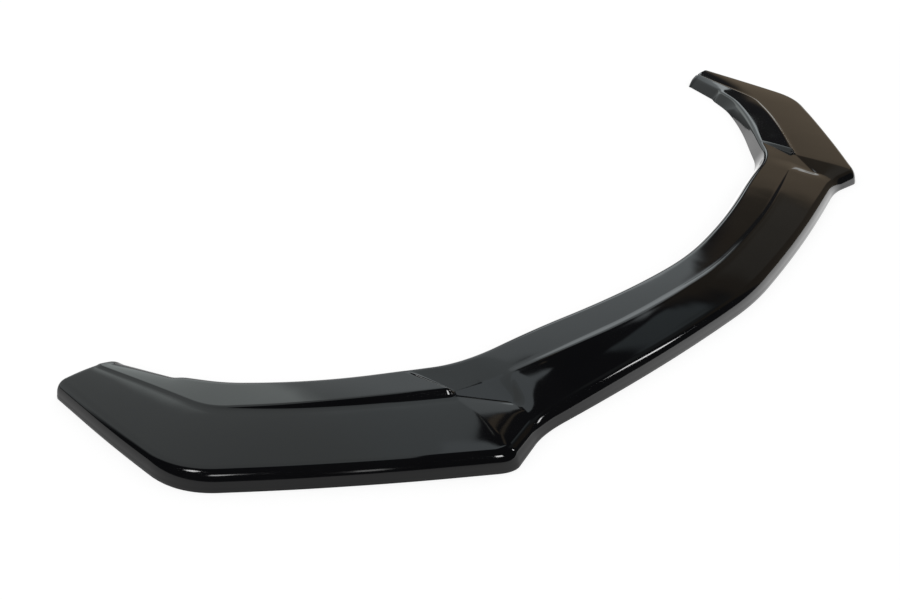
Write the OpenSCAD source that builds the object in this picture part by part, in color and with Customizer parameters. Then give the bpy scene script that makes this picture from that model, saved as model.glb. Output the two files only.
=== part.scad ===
// Front splitter lip for a passenger car, one formed sheet of gloss black plastic.
// x runs across the car, the front edge faces -y, z = 0 is the lower rim that stands on the floor.
// Plan points of the nose and the inner wing are [from the centre line, behind the nose], in millimetres.
// Those of the outer wing are [inboard, ahead] of the tip.
// The lip is the same on both sides, so the lines below describe one half from the centre to the tip.

/* [Overall] */
// Width over both wing tips
lip_w = 1752; // [1500:4:2000]
// Depth from the nose to the wing tips
lip_d = 583; // [450:1:750]
// Thickness of the formed sheet
sheet_t = 4; // [2.5:0.5:6]

/* [Front edge, plan] */
// Inner foot of the tooth, [from the centre line, behind the nose]
notch_at = [457, 59]; // [0:1:900]
// How late the nose line sweeps back (1 straight, 2 parabola)
nose_bow = 1.5; // [1:0.1:2.5]
// Outer point of the tooth, [from the centre line, behind the nose]
tooth_at = [530, 43]; // [0:1:900]
// Outward bow of the edge between the tooth and the wing corner
wing_bow = 4.5; // [0:0.5:15]
// Corner where the wing turns back along the wheel arch, [inboard, ahead] of the tip
corner_in = [35, 274]; // [0:1:500]
// Outward bow of the edge between the wing corner and the tip
side_bow = 3; // [0:0.5:10]
// Rounding of the wing tip
tip_r = 8; // [7:0.5:20]

/* [Rear edge, plan] */
// Depth of the lip on the centre line
mid_depth = 125; // [80:1:200]
// Rear edge a quarter of the way to the tooth, [from the centre line, behind the nose]
rear_nose_a = [112, 136]; // [0:1:900]
// Rear edge half way to the tooth
rear_nose_b = [222, 156]; // [0:1:900]
// Rear edge three quarters of the way to the tooth
rear_nose_c = [335, 184]; // [0:1:900]
// Rear edge behind the inner foot of the tooth
rear_notch = [456, 206]; // [0:1:900]
// Rear edge where the fixing land of the wing starts
rear_root = [526, 259]; // [0:1:900]
// Rear edge of the land, inner third
rear_wing_a = [589, 305]; // [0:1:900]
// Rear edge of the land, outer third
rear_wing_b = [651, 357]; // [0:1:900]
// Rear edge behind the wing corner, [inboard, ahead] of the tip
rear_corner_in = [169, 170]; // [0:1:500]
// Rear edge at the inner side of the small jog, [inboard, ahead] of the tip
rear_jog_in = [136, 117]; // [0:1:500]
// Rear corner of the tip, [inboard, ahead] of the tip
rear_tip_in = [86, 20]; // [0:1:500]
// Step back of the edge at the jog
jog = 5; // [0:0.5:15]

/* [Raised line, plan] */
// Rear foot of the nose ridge on the centre line, behind the nose
ridge_depth = 77; // [40:1:110]
// Rear foot of the ridge a quarter of the way to the tooth, [from the centre line, behind the nose]
ridge_a = [112, 87]; // [0:1:900]
// Rear foot of the ridge half way to the tooth
ridge_b = [224, 102]; // [0:1:900]
// Rear foot of the ridge three quarters of the way to the tooth
ridge_c = [334, 127]; // [0:1:900]
// Point where the ridge runs out
ridge_end = [462, 158]; // [0:1:900]
// Lowest point of the hollow between the nose and the tooth
valley_at = [459, 107]; // [0:1:900]
// Inner front corner of the fixing land
land_root = [509, 178]; // [0:1:900]
// Front edge of the land, inner third
land_a = [601, 248]; // [0:1:900]
// Front edge of the land, outer third
land_b = [678, 312]; // [0:1:900]
// Point where the step of the land runs out, [inboard, ahead] of the tip
land_end_in = [128, 201]; // [0:1:500]
// Soft fold behind the wing corner, [inboard, ahead] of the tip
fold_mid_in = [101, 116]; // [0:1:500]
// Soft fold at the tip, [inboard, ahead] of the tip
fold_tip_in = [66, 17]; // [0:1:500]

/* [Heights] */
// Front edge of the nose
nose_h = 26.5; // [16:0.5:34]
// Front edge of the wing
wing_h = 26.5; // [16:0.5:40]
// Front edge at the tip
tip_h = 25.5; // [14:0.5:40]
// Crest of the nose ridge
ridge_h = 37.5; // [26:0.5:45]
// Drop from the crest to its rear foot
ridge_drop = 1.5; // [0.5:0.5:5]
// Height where the ridge runs out
ridge_end_h = 32; // [20:0.5:40]
// Foot of the step of the land
land_foot_h = 29; // [20:0.5:40]
// Rise of the step of the land at its inner end
land_rise = 9; // [3:0.5:15]
// Hollow between the nose and the tooth
valley_h = 24.5; // [14:0.5:35]
// Rear edge of the nose
rear_h = 35; // [20:0.5:45]
// Rear edge of the land
land_rear_h = 27; // [16:0.5:40]
// Rear edge at the tip
rear_tip_h = 20; // [14:0.5:40]

/* [Edges] */
// Lean of the front skirt of the wings
skirt_lean = 7; // [2:0.5:14]
// Lean of the front skirt of the nose
nose_lean = 6; // [2:0.5:14]
// Lean of the rear wall
wall_lean = 13; // [4:0.5:20]
// Width of the nose ridge behind its crest
ridge_run = 8; // [3:0.5:15]
// Slope width of the step of the land
land_run = 7.5; // [2:0.5:15]
// Rounding of the front edge
edge_r = 12.5; // [6:0.5:16]
// Rounding of the rear edge
rear_r = 8; // [2:0.5:12]
// Rounding of the ridge and the step of the land
fold_r = 2.5; // [1:0.5:6]

/* [Hidden] */
least = 3;                       // closest that two neighbouring lines may come

function nose_pt(p, z = 0) = [p[0], p[1] - lip_d / 2, z];
function tip_pt(p, z = 0) = [lip_w / 2 - p[0], lip_d / 2 - p[1], z];
function lerp(a, b, t) = a + (b - a) * t;
function unit(v) = v / max(norm(v), 0.001);

// A line is a list of [station, point, softness]; stations run from -10 at one tip to 10 at the other.
function both(g) = concat(
    [for (i = [len(g) - 1:-1:1]) [-g[i][0], [-g[i][1][0], g[i][1][1], g[i][1][2]], g[i][2]]], g);
function piece(g, s, i = 0) = i >= len(g) - 2 || s <= g[i + 1][0] ? i : piece(g, s, i + 1);
function straight(g, s) = let (i = piece(g, s))
    lerp(g[i][1], g[i + 1][1], (s - g[i][0]) / (g[i + 1][0] - g[i][0]));
function bend(g, v, t) = pow(1 - t, 2) * straight(g, v[0] - v[2]) + 2 * t * (1 - t) * v[1]
    + t * t * straight(g, v[0] + v[2]);
function at(g, s) = let (near = [for (v = g) if (abs(s - v[0]) < v[2] - 0.0001) v])
    len(near) == 0 ? straight(g, s) : bend(g, near[0], (s - near[0][0] + near[0][2]) / (2 * near[0][2]));

// Shifts a line sideways in plan, to the rear for positive values, and lowers it.
function side(a, b) = let (d = b - a) unit([-d[1], d[0], 0]);
function shift(g, by, down = 0) = [for (i = [0:len(g) - 1]) let (
    n1 = side(g[max(i - 1, 0)][1], g[max(i, 1)][1]),
    n2 = side(g[min(i, len(g) - 2)][1], g[min(i + 1, len(g) - 1)][1]),
    d = is_list(by) ? by[i] : by)
    [g[i][0], g[i][1] + d * (n1 + n2) / (1 + n1 * n2) - [0, 0, down], g[i][2]]];
function level(g, z) = [for (i = [0:len(g) - 1])
    [g[i][0], [g[i][1][0], g[i][1][1], is_list(z) ? z[i] : z], g[i][2]]];
function full(v) = concat([for (i = [len(v) - 1:-1:1]) v[i]], v);

// Front rim: nose, notch, tooth, wing, corner, tip.
notch = nose_pt(notch_at);
tooth = nose_pt(tooth_at);
corner = tip_pt(corner_in);
tip = tip_pt([0, tip_r]);
function sweep(k) = (notch[1] + lip_d / 2) * pow(k / 4, nose_bow);
// The middle point leads by a third of the first sweep, so the softened line ends at the full depth.
function nose(k) = [notch[0] * k / 4, (k == 0 ? -sweep(1) / 3 : sweep(k)) - lip_d / 2, 0];
out = -side(tooth, corner);
front = both([[0, nose(0), 0.5], [1, nose(1), 0.5], [2, nose(2), 0.5], [3, nose(3), 0.5],
    [4, notch, 0.3], [5, tooth, 0.16],
    [6, lerp(tooth, corner, 1 / 3) + out * wing_bow, 0.45],
    [7, lerp(tooth, corner, 2 / 3) + out * wing_bow, 0.4],
    [8, corner, 0.38], [9, lerp(corner, tip, 0.5) - side(corner, tip) * side_bow, 0.5], [10, tip, 0]]);

// Front edge above the leaning skirt.
edge = level(shift(front, full([nose_lean, nose_lean, nose_lean, nose_lean, nose_lean, skirt_lean,
        skirt_lean, skirt_lean, skirt_lean, skirt_lean, skirt_lean])),
    full([nose_h, nose_h, nose_h, nose_h, nose_h - 1.5, wing_h - 1, wing_h, wing_h, wing_h,
        (wing_h + tip_h) / 2, tip_h]));

// Rear foot of the ridge and top of the step of the land, with the short slope at the land's inner end.
low = land_foot_h + 1;
high = land_foot_h + land_rise;
step = 0.07;
behind_h = ridge_h - ridge_drop;
function running_out(t) = lerp(behind_h, ridge_end_h, t);
raised = both([[0, nose_pt([0, ridge_depth], behind_h), 0.5], [1, nose_pt(ridge_a, behind_h), 0.5],
    [2, nose_pt(ridge_b, behind_h), 0.5], [3, nose_pt(ridge_c, behind_h), 0.4],
    [3.9, lerp(nose_pt(ridge_c), nose_pt(ridge_end), 0.9) + [0, 0, running_out(0.7)], 0.03],
    [4, nose_pt(ridge_end, ridge_end_h), 0.05],
    [5 - step, lerp(nose_pt(ridge_end, low), nose_pt(land_root, low), 1 - step), 0.02],
    [5, nose_pt(land_root, high), 0.02],
    [6, nose_pt(land_a, land_foot_h + land_rise * 0.85), 0.45],
    [7, nose_pt(land_b, land_foot_h + land_rise * 0.5), 0.45],
    [8.1, tip_pt(land_end_in, land_foot_h), 0.3],
    [9, tip_pt(fold_mid_in, (land_foot_h + tip_h) / 2 + 0.5), 0.4],
    [10, tip_pt(fold_tip_in, tip_h + 0.5), 0]]);
slope = level(shift(raised, -full([ridge_run, ridge_run, ridge_run, ridge_run, ridge_run * 0.7, least,
        land_run, land_run, land_run * 0.9, land_run * 0.6, least, least, least])),
    full([ridge_h, ridge_h, ridge_h, ridge_h, running_out(0.7) + ridge_drop / 2, ridge_end_h, land_foot_h,
        land_foot_h, land_foot_h, land_foot_h, land_foot_h - 0.4, (land_foot_h + tip_h) / 2, tip_h]));
valley = nose_pt(valley_at, valley_h);
foot = [for (v = slope) abs(v[0]) == 4 ? [v[0], [sign(v[0]) * valley[0], valley[1], valley[2]], 0.05] : v];

// Rear edge and the lower rim of the rear wall.
jog_out = -side(tip_pt(rear_corner_in), tip_pt(rear_jog_in));
rear = both([[0, nose_pt([0, mid_depth], rear_h), 0.5], [1, nose_pt(rear_nose_a, rear_h), 0.5],
    [2, nose_pt(rear_nose_b, rear_h), 0.5], [3, nose_pt(rear_nose_c, rear_h), 0.5],
    [4, nose_pt(rear_notch, lerp(rear_h, land_rear_h, 0.2)), 0.5],
    [5, nose_pt(rear_root, lerp(rear_h, land_rear_h, 0.8)), 0.5],
    [6, nose_pt(rear_wing_a, land_rear_h), 0.5], [7, nose_pt(rear_wing_b, land_rear_h), 0.5],
    [8, tip_pt(rear_corner_in, land_rear_h), 0.35],
    [8.75, tip_pt(rear_jog_in, lerp(land_rear_h, rear_tip_h, 0.4)), 0.08],
    [8.93, lerp(tip_pt(rear_jog_in), tip_pt(rear_tip_in), 0.13) + jog_out * jog
        + [0, 0, lerp(land_rear_h, rear_tip_h, 0.45)], 0.08],
    [10, tip_pt(rear_tip_in, rear_tip_h), 0]]);
rim = level(shift(rear, wall_lean), 0);

// Sections across the lip: outer face, and inner face one sheet thickness below it.
outer = [front, edge, foot, raised, rear, rim];
inner = [shift(front, 1.06 * sheet_t), shift(edge, 0.7 * sheet_t, sheet_t),
    shift(foot, 0.45 * sheet_t, sheet_t), shift(raised, 0.45 * sheet_t, sheet_t),
    shift(rear, -0.65 * sheet_t, sheet_t), shift(rim, -1.06 * sheet_t)];
outer_r = [0, edge_r, fold_r, fold_r, rear_r, 0];
inner_r = [0, max(edge_r - sheet_t, 2), fold_r, fold_r, max(rear_r - sheet_t, 1.5), 0];
outer_n = [1, 5, 2, 3, 4, 1];
inner_n = [1, 3, 2, 2, 2, 1];

function round_at(c, i, r, n) = n == 1 ? [c[i]] : let (
    a = c[i - 1] - c[i], b = c[i + 1] - c[i],
    p = c[i] + a * min(r / norm(a), 0.42), q = c[i] + b * min(r / norm(b), 0.42))
    [for (k = [0:n - 1]) let (t = k / (n - 1))
        pow(1 - t, 2) * p + 2 * t * (1 - t) * c[i] + t * t * q];
function section(lines, r, n, s) = let (c = [for (g = lines) at(g, s)])
    [for (i = [0:len(c) - 1]) each round_at(c, i, r[i], n[i])];

// The tip rolls over its end: the last section moves out by r while it sinks and closes in at its corners.
function roll(sec, r, a, dir) = let (
    first = sec[0], last = sec[len(sec) - 1], along = unit(last - first), w = norm(last - first) / 2,
    mid = (first + last) / 2, d = dir * [-along[1], along[0], 0], high = max([for (p = sec) p[2]]))
    [for (p = sec) let (u = (p - mid) * along, e = (p - first) * d)
        [p[0], p[1], 0] + d * (r - e) * sin(a) - along * (u / w) * r * (1 - cos(a))
            + [0, 0, p[2] * (1 - r / high * (1 - cos(a)))]];

half_stations = concat([for (s = [0:0.2:3.4]) s],
    [3.55, 3.7, 3.8, 3.87, 3.9, 3.93, 3.97, 4, 4.03, 4.07, 4.13],
    [for (s = [4.25:0.15:4.75]) s],
    [4.84, 4.9, 5 - step, 5 - step / 2, 5, 5.05, 5.1, 5.16], [for (s = [5.3:0.25:7.3]) s],
    [for (s = [7.45:0.11:8.6]) s], [8.67, 8.71, 8.75, 8.79, 8.83, 8.87, 8.91, 8.95, 9.01],
    [for (s = [9.15:0.2:9.9]) s], [10]);
stations = concat([for (i = [len(half_stations) - 1:-1:1]) -half_stations[i]], half_stations);
turns = [25, 50, 70, 90];
// Both tips turn the same way: the left one points against the direction of the stations.
function skin(lines, r, n, end_r) = concat(
    [for (i = [len(turns) - 1:-1:0]) roll(section(lines, r, n, -10), end_r, turns[i], 1)],
    [for (s = stations) section(lines, r, n, s)],
    [for (a = turns) roll(section(lines, r, n, 10), end_r, a, -1)]);

module splitter_lip() {
    top = skin(outer, outer_r, outer_n, tip_r);
    under = skin(inner, inner_r, inner_n, tip_r - sheet_t);
    rows = len(top);
    m = len(top[0]);
    k = len(under[0]);
    o = function (i, j) i * m + j;
    u = function (i, j) rows * m + i * k + j;
    last = rows - 1;
    // Each four-sided patch becomes two triangles, mirrored about the centre line.
    cut = function (a, b, c, d, i) i < last / 2 ? [[a, b, c], [a, c, d]] : [[a, b, d], [b, c, d]];
    color([0.02, 0.02, 0.022])
    polyhedron(
        points = concat([for (row = top) each row], [for (row = under) each row]),
        faces = concat(
            [for (i = [0:last - 1], j = [0:m - 2])
                each cut(o(i, j), o(i, j + 1), o(i + 1, j + 1), o(i + 1, j), i)],
            [for (i = [0:last - 1], j = [0:k - 2])
                each cut(u(i, j), u(i + 1, j), u(i + 1, j + 1), u(i, j + 1), i)],
            [for (i = [0:last - 1]) each concat(
                cut(o(i, 0), o(i + 1, 0), u(i + 1, 0), u(i, 0), i),
                cut(u(i, k - 1), u(i + 1, k - 1), o(i + 1, m - 1), o(i, m - 1), i))],
            [[for (j = [0:m - 1]) o(last, j)], [for (j = [k - 1:-1:0]) u(last, j)],
                [o(last, 0), o(last, m - 1), u(last, k - 1), u(last, 0)],
                [for (j = [m - 1:-1:0]) o(0, j)], [for (j = [0:k - 1]) u(0, j)],
                [o(0, m - 1), o(0, 0), u(0, 0), u(0, k - 1)]]),
        convexity = 8);
}

splitter_lip();
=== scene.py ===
import math

import bpy
import numpy as np
from mathutils import Matrix


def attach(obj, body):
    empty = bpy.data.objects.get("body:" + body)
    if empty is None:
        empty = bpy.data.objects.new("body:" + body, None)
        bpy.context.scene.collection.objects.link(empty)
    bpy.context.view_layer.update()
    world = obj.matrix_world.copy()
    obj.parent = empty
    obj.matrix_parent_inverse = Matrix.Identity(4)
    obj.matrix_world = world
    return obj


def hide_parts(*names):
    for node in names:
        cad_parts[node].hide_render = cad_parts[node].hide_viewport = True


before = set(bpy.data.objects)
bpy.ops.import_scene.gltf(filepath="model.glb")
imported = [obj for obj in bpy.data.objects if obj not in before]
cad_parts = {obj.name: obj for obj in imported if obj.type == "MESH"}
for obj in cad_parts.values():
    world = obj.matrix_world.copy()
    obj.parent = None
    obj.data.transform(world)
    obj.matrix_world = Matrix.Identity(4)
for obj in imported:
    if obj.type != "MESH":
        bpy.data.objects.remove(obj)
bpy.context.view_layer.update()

# The splitter lip: one sheet of black ABS, formed hot over a mould and trimmed round its lower rim.
# Its upper side keeps the gloss of the sheet, the inside is dull, and the sawn rim is satin.
# It is drawn as six lines that run from wing tip to wing tip, with rounded sections between them.

# Sizes are in mm. Plan points are (from the centre line, behind the nose), or near the tip
# (inboard, ahead) of the wing tip. Stations count from 0 at the centre line to 10 at the tip:
# 4 is the notch, 5 the tooth and the root of the fixing land, and 8 the wing corner.
lip_width, lip_depth, sheet = 1752.0, 583.0, 4.0
notch_at, tooth_at, corner_in = (457, 59), (530, 43), (35, 274)
nose_bow, wing_bow, side_bow, tip_round = 1.5, 4.5, 3.0, 8.0
rear_nose = ((0, 125), (112, 136), (222, 156), (335, 184), (456, 206))
rear_wing = ((526, 259), (589, 305), (651, 357))
rear_outer = ((169, 170), (136, 117), (86, 20))
rear_jog, jog_from, jog_to = 5.0, 8.75, 8.93
ridge_at = ((0, 77), (112, 87), (224, 102), (334, 127), (462, 158))
valley_at = (459, 107)
land_at, land_end = ((509, 178), (601, 248), (678, 312)), (128, 201)
fold_in = ((101, 116), (66, 17))
nose_h, notch_drop, wing_h, tip_h = 26.5, 3.0, 26.5, 25.5
ridge_h, ridge_drop, ridge_end_h, valley_h = 37.5, 1.5, 30.5, 25.0
fade_at, fade_share = 3.75, 0.4
land_foot, land_foot_dip, land_rise = 29.0, 0.4, 9.0
rear_h, land_rear, rear_tip = 35.0, 27.0, 20.0
wing_lean, nose_lean, wall_lean = 7.0, 6.0, 13.0
ridge_run, land_run, least_gap, root_step = 8.0, 7.5, 3.0, 0.1
edge_round, edge_drop, rear_round, fold_round = 14.0, 20.0, 8.0, 3.2


def behind_nose(point, z=0.0):
    """A plan point given as (from the centre line, behind the nose), with its height, in mm."""
    return np.array([point[0], point[1] - lip_depth / 2, z])


def from_tip(point, z=0.0):
    """A plan point given as (inboard, ahead) of the wing tip, with its height, in mm."""
    return np.array([lip_width / 2 - point[0], lip_depth / 2 - point[1], z])


def between(a, b, share):
    """The point that lies a share of the way from a to b: a + share (b - a)."""
    return a + (b - a) * share


def to_the_rear(a, b):
    """The unit vector in plan square to the way from a to b, which points to the car's rear."""
    way = b - a
    square = np.array([-way[1], way[0], 0.0])
    return square / max(np.linalg.norm(square), 1e-3)


def both_halves(half):
    """Mirrors the half line (station, point, softness), so stations run from -10 to 10."""
    left = [(-s, np.array([-p[0], p[1], p[2]]), soft) for s, p, soft in half[:0:-1]]
    return left + list(half)


def mirrored(values):
    """Values from the centre to the tip, repeated in reverse for the other half."""
    return values[:0:-1] + values


def moved(line, by, down=0.0):
    """Each corner moves along its mitre by the distance `by` to the rear, and sinks by `down`:
    p + by (n1 + n2) / (1 + n1.n2), with n1 and n2 square to the two stretches that meet there."""
    by = by if np.ndim(by) else [by] * len(line)
    out, end = [], len(line) - 1
    for i, (s, p, soft) in enumerate(line):
        n1 = to_the_rear(line[max(i - 1, 0)][1], line[max(i, 1)][1])
        n2 = to_the_rear(line[min(i, end - 1)][1], line[min(i + 1, end)][1])
        out.append((s, p + by[i] * (n1 + n2) / (1 + n1 @ n2) - np.array([0, 0, down]), soft))
    return out


def at_heights(line, heights):
    """The same plan line with each corner at its own height."""
    heights = heights if np.ndim(heights) else [heights] * len(line)
    return [(s, np.array([p[0], p[1], z]), soft) for (s, p, soft), z in zip(line, heights)]


def along(line, stations):
    """The line at each station: straight between corners, and near a corner the quadratic curve
    (1-t)^2 a + 2 t (1-t) corner + t^2 b, where a and b lie `soft` stations before and after it."""
    s_at = np.array([s for s, _, _ in line])
    p_at = np.array([p for _, p, _ in line])

    def straight(s):
        return np.stack([np.interp(s, s_at, p_at[:, k]) for k in range(3)], -1)

    out = straight(stations)
    for s, p, soft in line:
        if soft > 0:
            near = np.abs(stations - s) < soft - 1e-4
            t = ((stations[near] - s + soft) / (2 * soft))[:, None]
            a, b = straight(np.array([s - soft])), straight(np.array([s + soft]))
            out[near] = (1 - t) ** 2 * a + 2 * t * (1 - t) * p + t * t * b
    return out


notch, tooth = behind_nose(notch_at), behind_nose(tooth_at)
corner, tip = from_tip(corner_in), from_tip((0, tip_round))
sweep = [(notch[1] + lip_depth / 2) * (k / 4) ** nose_bow for k in range(4)]
nose = [np.array([notch[0] * k / 4, rise - lip_depth / 2, 0.0])
        for k, rise in enumerate([-sweep[1] / 3] + sweep[1:])]
bow = -to_the_rear(tooth, corner) * wing_bow
front_line = both_halves(
    [(k, nose[k], 0.5) for k in range(4)]
    + [(4, notch, 0.3), (5, tooth, 0.16), (6, between(tooth, corner, 1 / 3) + bow, 0.45),
       (7, between(tooth, corner, 2 / 3) + bow, 0.4), (8, corner, 0.38),
       (9, between(corner, tip, 0.5) - to_the_rear(corner, tip) * side_bow, 0.5), (10, tip, 0)])
edge_line = at_heights(
    moved(front_line, mirrored([nose_lean] * 5 + [wing_lean] * 6)),
    mirrored([nose_h] * 4 + [nose_h - notch_drop, wing_h, wing_h, wing_h, wing_h,
                             (wing_h + tip_h) / 2, tip_h]))
behind_ridge = ridge_h - ridge_drop
running_out = between(behind_ridge, ridge_end_h, fade_share)
raised_line = both_halves(
    [(0, behind_nose(ridge_at[0], behind_ridge), 0.5), (1, behind_nose(ridge_at[1], behind_ridge), 0.5),
     (2, behind_nose(ridge_at[2], behind_ridge), 0.5), (3, behind_nose(ridge_at[3], behind_ridge), 0.45),
     (fade_at, between(behind_nose(ridge_at[3]), behind_nose(ridge_at[4]), fade_at - 3)
      + [0, 0, running_out], 0.12),
     (4, behind_nose(ridge_at[4], ridge_end_h), 0.1),
     (5 - root_step, between(behind_nose(ridge_at[4], land_foot + 1),
                             behind_nose(land_at[0], land_foot + 1), 1 - root_step), 0.045),
     (5, behind_nose(land_at[0], land_foot + land_rise), 0.045),
     (6, behind_nose(land_at[1], land_foot + land_rise * 0.85), 0.45),
     (7, behind_nose(land_at[2], land_foot + land_rise * 0.5), 0.45),
     (8.1, from_tip(land_end, land_foot), 0.3),
     (9, from_tip(fold_in[0], (land_foot + tip_h) / 2 + 0.5), 0.4),
     (10, from_tip(fold_in[1], tip_h + 0.5), 0)])
foot_line = at_heights(
    moved(raised_line, [-d for d in mirrored(
        [ridge_run] * 4 + [ridge_run * 0.7, least_gap, land_run, land_run, land_run * 0.9,
                           land_run * 0.6, least_gap, least_gap, least_gap])]),
    mirrored([ridge_h] * 4 + [running_out + ridge_drop / 2, ridge_end_h] + [land_foot] * 4
             + [land_foot - land_foot_dip, (land_foot + tip_h) / 2, tip_h]))
valley = behind_nose(valley_at, valley_h)
foot_line = [(s, valley * [np.sign(s), 1, 1], 0.1) if abs(s) == 4 else (s, p, soft)
             for s, p, soft in foot_line]
jog_way = -to_the_rear(from_tip(rear_outer[0]), from_tip(rear_outer[1]))
rear_line = both_halves(
    [(k, behind_nose(rear_nose[k], rear_h), 0.5) for k in range(4)]
    + [(4, behind_nose(rear_nose[4], between(rear_h, land_rear, 0.2)), 0.5),
       (5, behind_nose(rear_wing[0], between(rear_h, land_rear, 0.8)), 0.5),
       (6, behind_nose(rear_wing[1], land_rear), 0.5), (7, behind_nose(rear_wing[2], land_rear), 0.5),
       (8, from_tip(rear_outer[0], land_rear), 0.35),
       (jog_from, from_tip(rear_outer[1], between(land_rear, rear_tip, 0.4)), 0.08),
       (jog_to, between(from_tip(rear_outer[1]), from_tip(rear_outer[2]), 0.13) + jog_way * rear_jog
        + [0, 0, between(land_rear, rear_tip, 0.45)], 0.08),
       (10, from_tip(rear_outer[2], rear_tip), 0)])
rim_line = at_heights(moved(rear_line, wall_lean), 0.0)

# Each inner line lies one sheet below its outer line. Its inset in plan keeps the wall even where
# the sheet slopes.
rim_inset, edge_inset, fold_inset, rear_inset = 1.06 * sheet, 0.7 * sheet, 0.45 * sheet, 0.65 * sheet
outer_lines = [front_line, edge_line, foot_line, raised_line, rear_line, rim_line]
inner_lines = [moved(front_line, rim_inset), moved(edge_line, edge_inset, sheet),
               moved(foot_line, fold_inset, sheet), moved(raised_line, fold_inset, sheet),
               moved(rear_line, -rear_inset, sheet), moved(rim_line, -rim_inset)]

# A rounding takes up at most this share of a stretch; on the skirt it may take up more.
most_of_stretch, most_of_skirt = 0.42, 0.8


def across(lines, stations, rounds, turn_points, flat_points, crowns):
    """Rows of points across the lip, one row for each station. At each inner line the section turns
    on the curve (1-t)^2 p + 2 t (1-t) corner + t^2 q that starts and ends one rounding away from it;
    the roundings are pairs (before, after).
    Between two lines it is straight, plus a crown 4 t (1-t) high in mm, square to the stretch.
    The second result is the place of each point as line number plus share, for the finish."""
    cage = np.stack([along(line, stations) for line in lines], 1)
    last = len(lines) - 1
    starts, ends, turns = [], [cage[:, 0]], []
    for i in range(1, last):
        a, b = cage[:, i - 1] - cage[:, i], cage[:, i + 1] - cage[:, i]
        before, after = rounds[i]
        most = most_of_skirt if i == 1 else most_of_stretch
        p = cage[:, i] + a * np.minimum(before / np.linalg.norm(a, axis=1), most)[:, None]
        q = cage[:, i] + b * np.minimum(after / np.linalg.norm(b, axis=1), most_of_stretch)[:, None]
        t = np.linspace(0, 1, turn_points[i])[None, :, None]
        turns.append((1 - t) ** 2 * p[:, None] + 2 * t * (1 - t) * cage[:, i:i + 1]
                     + t * t * q[:, None])
        starts.append(p)
        ends.append(q)
    starts.append(cage[:, last])
    rows, place = [cage[:, :1]], [np.zeros(1)]
    for i in range(last):
        t = np.linspace(0, 1, flat_points[i] + 2)[1:-1]
        a, b = ends[i], starts[i]
        way = np.gradient((a + b) / 2, axis=0)
        up = np.cross(way, b - a)
        up /= np.maximum(np.linalg.norm(up, axis=1), 1e-6)[:, None]
        flat = a[:, None] + (b - a)[:, None] * t[None, :, None]
        flat += up[:, None] * (crowns[i] * 4 * t * (1 - t))[None, :, None]
        rows.append(flat)
        place.append(i + 0.1 + 0.8 * t)
        if i + 1 < last:
            rows.append(turns[i])
            place.append(np.linspace(i + 0.9, i + 1.1, turn_points[i + 1]))
    rows.append(cage[:, last:])
    place.append(np.array([float(last)]))
    return np.concatenate(rows, 1), np.concatenate(place)


def rolled_end(row, reach, angle, side):
    """The last section carried over the end of the tip: it moves out by reach sin(angle), sinks by
    up to reach (1 - cos(angle)) at its highest, and closes in at its corners by as much."""
    first, last = row[0], row[-1]
    chord = last - first
    width = np.linalg.norm(chord) / 2
    chord = chord / (2 * width)
    out = side * np.array([-chord[1], chord[0], 0.0])
    u, e = (row - (first + last) / 2) @ chord, (row - first) @ out
    flat = row * [1, 1, 0] + out * ((reach - e) * math.sin(angle))[:, None]
    flat = flat - chord * (u / width * reach * (1 - math.cos(angle)))[:, None]
    flat[:, 2] = row[:, 2] * (1 - reach / row[:, 2].max() * (1 - math.cos(angle)))
    return flat


def skin(lines, stations, rounds, turn_points, flat_points, crowns, reach, angles):
    """One face of the sheet as a grid: the rolled end of the left tip, the sections, the right end."""
    rows, place = across(lines, stations, rounds, turn_points, flat_points, crowns)
    left = np.array([rolled_end(rows[0], reach, a, 1) for a in angles[::-1]])
    right = np.array([rolled_end(rows[-1], reach, a, -1) for a in angles])
    return np.concatenate([left, rows, right]), place


# The sections stand closer where the ridge runs out, at the root of the land and at the rear jog.
half_stations = np.unique(np.round(np.concatenate([
    np.arange(0, 10.001, 0.04), np.arange(3.6, 4.12, 0.01), np.arange(4.84, 5.1, 0.005),
    np.arange(8.64, 9.08, 0.01)]), 4))
stations = np.concatenate([-half_stations[:0:-1], half_stations])
end_angles = np.radians(np.linspace(0, 90, 11)[1:])
outer, outer_place = skin(
    outer_lines, stations,
    rounds=[None, (edge_drop, edge_round), (fold_round, fold_round), (fold_round, fold_round),
            (rear_round, rear_round)],
    turn_points=[1, 17, 6, 7, 11, 1], flat_points=[5, 13, 5, 12, 5],
    crowns=[0.3, 1.0, 0, 0.15, 0.3], reach=tip_round, angles=end_angles)
inner, inner_place = skin(
    inner_lines, stations, rounds=[None, (15, 10), (2.5, 2.5), (2.5, 2.5), (4, 4)],
    turn_points=[1, 4, 2, 2, 3, 1], flat_points=[1, 3, 0, 3, 1],
    crowns=[0, 0, 0, 0, 0], reach=tip_round - sheet, angles=end_angles)


def sheet_faces(rows, outer_points, inner_points):
    """Quads of the closed sheet as an array of corner numbers, all turned outwards: the outer grid,
    the inner grid the other way round, and the strip that joins them along the two long rims.
    The second result names each quad's surface: 0 gloss side, 1 inside, 2 sawn rim."""
    i, j = np.meshgrid(np.arange(rows - 1), np.arange(outer_points - 1), indexing="ij")
    o = (i * outer_points + j).ravel()
    top = np.stack([o, o + outer_points, o + outer_points + 1, o + 1], 1)
    i, j = np.meshgrid(np.arange(rows - 1), np.arange(inner_points - 1), indexing="ij")
    u = (i * inner_points + j).ravel() + rows * outer_points
    under = np.stack([u, u + 1, u + inner_points + 1, u + inner_points], 1)
    r = np.arange(rows - 1)
    o, u = r * outer_points, rows * outer_points + r * inner_points
    front = np.stack([o, u, u + inner_points, o + outer_points], 1)
    o, u = o + outer_points - 1, u + inner_points - 1
    rear = np.stack([u, o, o + outer_points, u + inner_points], 1)
    kinds = np.repeat([0, 1, 2], [len(top), len(under), len(front) + len(rear)])
    return np.concatenate([top, under, front, rear]), kinds


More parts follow.
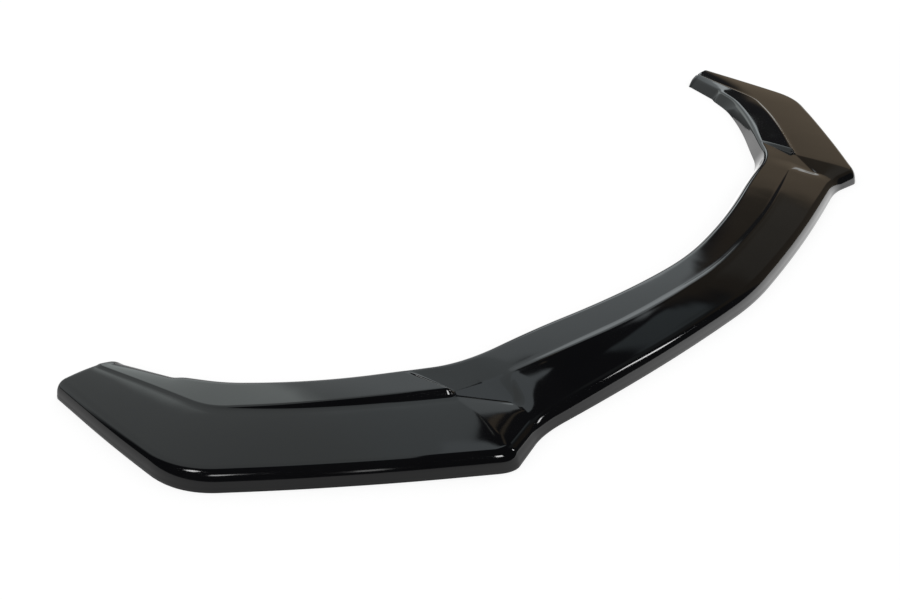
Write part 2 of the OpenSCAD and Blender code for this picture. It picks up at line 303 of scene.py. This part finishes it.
rows, outer_points, inner_points = outer.shape[0], outer.shape[1], inner.shape[1]
points = np.concatenate([outer.reshape(-1, 3), inner.reshape(-1, 3)]) / 1000
quads, surface = sheet_faces(rows, outer_points, inner_points)
inner_start = rows * outer_points
end_faces, end_surface = [], []
for row, turned in ((0, True), (rows - 1, False)):
    o = [row * outer_points + j for j in range(outer_points)]
    u = [inner_start + row * inner_points + j for j in range(inner_points)]
    rim_cap = [o[0], u[0], u[-1], o[-1]]
    faces = [o[::-1], u, rim_cap] if not turned else [o, u[::-1], rim_cap[::-1]]
    end_faces += faces
    end_surface += [0, 1, 2]

# The UV map runs from wing tip to wing tip in u and from the front rim to the rear rim in v.
crease_angle = math.radians(38)
lip_mesh = bpy.data.meshes.new("lip_sheet")
lip_mesh.from_pydata(points.tolist(), [], quads.tolist() + end_faces)
lip_mesh.polygons.foreach_set("material_index", np.concatenate([surface, end_surface]).astype(np.int32))
station_of = np.concatenate([np.full(len(end_angles), -10.0), stations, np.full(len(end_angles), 10.0)])
u_of = np.concatenate([np.repeat(station_of, outer_points), np.repeat(station_of, inner_points)])
v_of = np.concatenate([np.tile(outer_place, rows), np.tile(inner_place, rows)])
finish_map = lip_mesh.uv_layers.new(name="stations_and_lines")
corner_point = np.zeros(len(lip_mesh.loops), np.int32)
lip_mesh.loops.foreach_get("vertex_index", corner_point)
finish_map.data.foreach_set(
    "uv", np.stack([(u_of[corner_point] + 10) / 20, v_of[corner_point] / 5], 1).ravel().astype(np.float32))
lip_mesh.shade_smooth()
lip_mesh.set_sharp_from_angle(angle=crease_angle)
lip = bpy.data.objects.new("lip_sheet", lip_mesh)
bpy.context.scene.collection.objects.link(lip)


def new_finish(name):
    """A new material with its node tree, its shader and the node that gives each point's place."""
    material = bpy.data.materials.new(name)
    material.use_nodes = True
    tree = material.node_tree
    return material, tree, tree.nodes["Principled BSDF"], tree.nodes.new("ShaderNodeTexCoord")


def worked_out(tree, operation, *inputs):
    """One Math node; each input is a number or the output of another node."""
    node = tree.nodes.new("ShaderNodeMath")
    node.operation = operation
    for socket, value in zip(node.inputs, inputs):
        if isinstance(value, (int, float)):
            socket.default_value = value
        else:
            tree.links.new(value, socket)
    return node.outputs[0]


def noise(tree, place, scale, detail):
    """Noise with about `scale` cells to each metre of `place`."""
    node = tree.nodes.new("ShaderNodeTexNoise")
    node.inputs["Scale"].default_value = scale
    node.inputs["Detail"].default_value = detail
    tree.links.new(place, node.inputs["Vector"])
    return node.outputs["Fac"]


def ranged(tree, value, start, stop, low, high, rise="LINEAR"):
    """Low where the value is at start or below, high from stop on, and between them in between."""
    node = tree.nodes.new("ShaderNodeMapRange")
    node.interpolation_type = rise
    for name, number in (("From Min", start), ("From Max", stop), ("To Min", low), ("To Max", high)):
        node.inputs[name].default_value = number
    tree.links.new(value, node.inputs["Value"])
    return node.outputs["Result"]


def tones(tree, value, dark, pale, start=0.0, stop=1.0):
    """A colour that goes from dark to pale while the value goes from start to stop."""
    node = tree.nodes.new("ShaderNodeValToRGB")
    for element, place, colour in zip(node.color_ramp.elements, (start, stop), (dark, pale)):
        element.position = place
        element.color = (*colour, 1)
    tree.links.new(value, node.inputs["Fac"])
    return node.outputs["Color"]


def relief(tree, height, strength, depth, over=None):
    """A bump up to `depth` metres high, laid over another bump where one is given."""
    node = tree.nodes.new("ShaderNodeBump")
    node.inputs["Strength"].default_value = strength
    node.inputs["Distance"].default_value = depth
    tree.links.new(height, node.inputs["Height"])
    if over is not None:
        tree.links.new(over, node.inputs["Normal"])
    return node.outputs["Normal"]


def gloss_black_abs():
    """The gloss side: near-black plastic with a clear sharp reflection. Wide ripples from forming and
    a fine peel bend the reflection, a faint haze and hair scratches vary its roughness, and the
    rounded front and rear edges are a little duller from handling."""
    material, tree, shader, place = new_finish("gloss_black_abs")
    spot = place.outputs["Object"]
    shader.inputs["IOR"].default_value = 1.5
    haze = noise(tree, spot, 9.0, 5.0)
    dull = ranged(tree, haze, 0.35, 0.75, 0.035, 0.085)
    drawn_out = tree.nodes.new("ShaderNodeMapping")
    drawn_out.inputs["Scale"].default_value = (22.0, 900.0, 300.0)
    drawn_out.inputs["Rotation"].default_value = (0.0, 0.0, 0.5)
    tree.links.new(spot, drawn_out.inputs["Vector"])
    scratches = noise(tree, drawn_out.outputs["Vector"], 1.0, 2.0)
    hair = ranged(tree, scratches, 0.68, 0.8, 0.0, 0.07)
    lines = tree.nodes.new("ShaderNodeSeparateXYZ")
    tree.links.new(place.outputs["UV"], lines.inputs["Vector"])
    front_edge, rear_edge = (worked_out(tree, "COMPARE", lines.outputs["Y"], line / 5, 0.012)
                             for line in (1, 4))
    handled = worked_out(tree, "ADD", front_edge, rear_edge)
    rubbed = worked_out(tree, "MULTIPLY_ADD", handled, 0.02, dull)
    tree.links.new(worked_out(tree, "ADD", rubbed, hair), shader.inputs["Roughness"])
    tint = tones(tree, haze, (0.0013, 0.0014, 0.0018), (0.0024, 0.0025, 0.003), 0.3, 0.75)
    tree.links.new(tint, shader.inputs["Base Color"])
    ripple = relief(tree, noise(tree, spot, 11.0, 1.5), 1.0, 0.0006)
    peel = relief(tree, noise(tree, spot, 420.0, 1.0), 1.0, 0.000004, over=ripple)
    tree.links.new(peel, shader.inputs["Normal"])
    return material


def dull_inside():
    """The inside of the sheet: black plastic with the fine even grain of the mould side."""
    material, tree, shader, place = new_finish("dull_black_inside")
    grain = noise(tree, place.outputs["Object"], 900.0, 3.0)
    tone = tones(tree, grain, (0.012, 0.012, 0.013), (0.024, 0.024, 0.025))
    tree.links.new(tone, shader.inputs["Base Color"])
    tree.links.new(ranged(tree, grain, 0.0, 1.0, 0.4, 0.56), shader.inputs["Roughness"])
    tree.links.new(relief(tree, grain, 0.6, 0.00008), shader.inputs["Normal"])
    return material


def sawn_rim():
    """The trimmed rim: satin black, with the fine marks of the saw."""
    material, tree, shader, place = new_finish("sawn_black_rim")
    marks = noise(tree, place.outputs["Object"], 1500.0, 1.0)
    tone = tones(tree, marks, (0.016, 0.016, 0.017), (0.035, 0.035, 0.036))
    tree.links.new(tone, shader.inputs["Base Color"])
    shader.inputs["Roughness"].default_value = 0.5
    tree.links.new(relief(tree, marks, 0.5, 0.00005), shader.inputs["Normal"])
    return material


for finish in (gloss_black_abs(), dull_inside(), sawn_rim()):
    lip_mesh.materials.append(finish)
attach(lip, "root")
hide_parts("splitter_lip")

# The floor of the studio: a plain white sheet, wide enough that its edge is never in view.
# It takes the soft contact shadow of the lip; the white of it comes from the camera's own rays.
# For the lip's reflections the floor glows as a painted reflection, brighter towards the right, so the lip
# mirrors it dimmer towards the left wing.
floor_half, floor_gap, floor_white, floor_grey = 9.0, 0.0004, 0.76, 0.3
floor_mesh = bpy.data.meshes.new("studio_floor")
floor_mesh.from_pydata([(floor_half * x, floor_half * y, -floor_gap)
                        for x, y in ((-1, -1), (1, -1), (1, 1), (-1, 1))], [], [(0, 1, 2, 3)])
floor = bpy.data.objects.new("studio_floor", floor_mesh)
bpy.context.scene.collection.objects.link(floor)
floor_paint = bpy.data.materials.new("studio_white")
floor_paint.use_nodes = True
tree = floor_paint.node_tree
tree.nodes.clear()
matt = tree.nodes.new("ShaderNodeBsdfDiffuse")
matt.inputs["Color"].default_value = (floor_grey, floor_grey, floor_grey, 1)
floor_place = tree.nodes.new("ShaderNodeTexCoord")
floor_axes = tree.nodes.new("ShaderNodeSeparateXYZ")
tree.links.new(floor_place.outputs["Object"], floor_axes.inputs["Vector"])
rays = tree.nodes.new("ShaderNodeLightPath")
# Painted reflection: for glossy rays the floor glows, weaker at the left and stronger towards the right.
painted_floor_reflection = ranged(tree, floor_axes.outputs["X"], -0.75, 0.0, 0.4, 1.55, "SMOOTHSTEP")
mirrored = worked_out(tree, "MULTIPLY_ADD", rays.outputs["Is Glossy Ray"], painted_floor_reflection,
                      rays.outputs["Is Transmission Ray"])
seen = worked_out(tree, "ADD", rays.outputs["Is Camera Ray"], mirrored)
glow = tree.nodes.new("ShaderNodeEmission")
tree.links.new(worked_out(tree, "MULTIPLY", seen, floor_white), glow.inputs["Strength"])
both = tree.nodes.new("ShaderNodeAddShader")
tree.links.new(matt.outputs[0], both.inputs[0])
tree.links.new(glow.outputs[0], both.inputs[1])
surface_out = tree.nodes.new("ShaderNodeOutputMaterial")
tree.links.new(both.outputs[0], surface_out.inputs["Surface"])
floor_mesh.materials.append(floor_paint)

# The studio round the lip, which its gloss side mirrors: seen from the camera, a dark room with a
# pale ceiling and a pale wall ahead and to the left, a brown wall low on the right, a white sweep at
# floor level and a few lamps. Other rays find plain soft light, and the camera's own rays white.
dark_room, soft_light_level = (0.045, 0.045, 0.048), 0.88
studio = bpy.data.worlds.new("studio")
bpy.context.scene.world = studio
studio.use_nodes = True
tree = studio.node_tree
tree.nodes.clear()
view_way = tree.nodes.new("ShaderNodeTexCoord")
split = tree.nodes.new("ShaderNodeSeparateXYZ")
tree.links.new(view_way.outputs["Generated"], split.inputs["Vector"])
round_the_room = worked_out(tree, "ARCTAN2", split.outputs["Y"], split.outputs["X"])
azimuth = worked_out(tree, "MULTIPLY", round_the_room, math.degrees(1))
elevation = worked_out(tree, "MULTIPLY", worked_out(tree, "ARCSINE", split.outputs["Z"]), math.degrees(1))


def within(value, low, high, soft):
    """1 between low and high, 0 outside, with a smooth change of `soft` on either side of each."""
    rises = [ranged(tree, value, limit - soft, limit + soft, 0.0, 1.0, "SMOOTHSTEP")
             for limit in (low, high)]
    return worked_out(tree, "SUBTRACT", *rises)


# Each patch is (azimuth from, to, elevation from, to, slant, softness, colour) in degrees, from +x
# towards +y, and lies over the patches before it. Its azimuth limits hold for azimuth plus slant
# times elevation, so a slant makes its sides lean.
mirrored_room = None
for az0, az1, el0, el1, slant, soft, colour in (
        # The brown wall with its two lit parts, and two grey panels above it.
        (-34, 24, -10, 41, 0.0, 2.0, (0.14, 0.115, 0.085)),
        (3, 24, 2, 25, 0.0, 1.5, (0.40, 0.32, 0.23)),
        (-4, 13, 26, 37, 0.0, 1.5, (0.20, 0.18, 0.15)),
        (-2, 15, 42.5, 50, 0.0, 0.9, (0.30, 0.35, 0.37)),
        (-30, 0, 42, 60, 0.0, 3.0, (0.12, 0.13, 0.13)),
        # The pale ceiling with its brighter part, and the pale wall below it.
        (27.4, 190, 42, 90, -0.27, 0.9, (0.80, 0.88, 0.90)),
        (27, 46, 53.4, 67, 0.0, 0.7, (0.95, 1.05, 1.10)),
        (44.0, 190, 5, 43, 0.62, 1.0, (1.00, 1.09, 1.12)),
        # The bright strip at the wall's right-hand end, and the dark gap beside and below it.
        (28, 45, 26.5, 31, 0.0, 0.8, (1.9, 2.05, 2.1)),
        (31, 45, 14, 27, 0.0, 0.8, (1.9, 2.05, 2.1)),
        (28, 30.8, 2, 25.5, 0.0, 0.6, (0.05, 0.05, 0.05)),
        (28, 51.5, 2, 14, 0.0, 0.8, (0.05, 0.05, 0.05)),
        # The white sweep, the greyer middle of the wall with its window, and the dark side.
        (12, 27, -4, 9, 0.0, 1.0, (1.0, 1.0, 0.96)),
        (57, 140, 4, 78, 0.0, 9.0, (0.74, 0.79, 0.79)),
        (61, 74, 8, 38.5, 0.0, 2.0, (1.55, 1.68, 1.66)),
        (137, 200, -2, 90, 0.0, 4.0, (0.035, 0.035, 0.038)),
        # Three thin frames against the ceiling.
        (46.8, 48.2, 43.5, 47.5, 0.3, 0.4, (0.46, 0.37, 0.26)),
        (21.2, 22.4, 44, 51, -0.2, 0.4, (0.36, 0.30, 0.22)),
        (51.0, 51.7, 44, 50, 0.3, 0.3, (0.62, 0.64, 0.60)),
        # The lamps.
        (-50.5, -46, 27, 41, 0.0, 0.8, (16.0, 16.0, 16.0)),
        (-116, -103, 31, 41, 0.0, 1.0, (14.0, 14.0, 14.0)),
        (-136, -132.5, 12, 20, 0.0, 0.6, (2.5, 2.5, 2.5)),
        (-159, -150.5, 31, 38, 0.0, 0.8, (7.0, 7.0, 7.0)),
        (168, 178, 44, 55, 0.0, 0.8, (14.0, 14.0, 14.0))):
    across_the_room = worked_out(tree, "MULTIPLY_ADD", elevation, slant, azimuth) if slant else azimuth
    inside = worked_out(tree, "MULTIPLY", within(across_the_room, az0, az1, soft),
                        within(elevation, el0, el1, soft))
    patch = tree.nodes.new("ShaderNodeMix")
    patch.data_type = "RGBA"
    tree.links.new(inside, patch.inputs["Factor"])
    if mirrored_room is None:
        patch.inputs["A"].default_value = (*dark_room, 1)
    else:
        tree.links.new(mirrored_room, patch.inputs["A"])
    patch.inputs["B"].default_value = (*colour, 1)
    mirrored_room = patch.outputs["Result"]


def plain_light(strength):
    """White light of one strength from all sides."""
    node = tree.nodes.new("ShaderNodeBackground")
    node.inputs["Color"].default_value = (1, 1, 1, 1)
    node.inputs["Strength"].default_value = strength
    return node.outputs[0]


def chosen(ray_kind, otherwise, for_that_kind):
    """One light for rays of the named kind, and another for all other rays."""
    node = tree.nodes.new("ShaderNodeMixShader")
    tree.links.new(rays.outputs[ray_kind], node.inputs["Fac"])
    tree.links.new(otherwise, node.inputs[1])
    tree.links.new(for_that_kind, node.inputs[2])
    return node.outputs[0]


room_light = tree.nodes.new("ShaderNodeBackground")
tree.links.new(mirrored_room, room_light.inputs["Color"])
rays = tree.nodes.new("ShaderNodeLightPath")
lit = chosen("Is Glossy Ray", plain_light(soft_light_level), room_light.outputs[0])
studio_out = tree.nodes.new("ShaderNodeOutputWorld")
tree.links.new(chosen("Is Camera Ray", lit, plain_light(1.0)), studio_out.inputs["Surface"])

# The camera stands ahead of the left wing and looks down along the lip, as the photograph does.
# Its place and turn follow from the lip's own symmetry; a wide lens gives the strong perspective.
turn, tilt, roll = math.radians(-44.37), math.radians(36.55), math.radians(-0.69)
aim, distance = np.array([-0.3361, 0.0605, 0.0]), 1.1732
back = np.array([math.sin(turn) * math.cos(tilt), -math.cos(turn) * math.cos(tilt), math.sin(tilt)])
right = np.array([math.cos(turn), math.sin(turn), 0.0])
up = np.cross(back, right)
right, up = (right * math.cos(roll) + up * math.sin(roll), up * math.cos(roll) - right * math.sin(roll))
place = aim + back * distance
camera_data = bpy.data.cameras.new("camera")
camera_data.sensor_width = 36.0
camera_data.lens = 28.99
camera_data.clip_start = 0.02
camera = bpy.data.objects.new("camera", camera_data)
camera.matrix_world = Matrix((
    (right[0], up[0], back[0], place[0]), (right[1], up[1], back[1], place[1]),
    (right[2], up[2], back[2], place[2]), (0, 0, 0, 1)))
bpy.context.scene.collection.objects.link(camera)
bpy.context.scene.camera = camera
bpy.context.scene.view_settings.view_transform = "Standard"
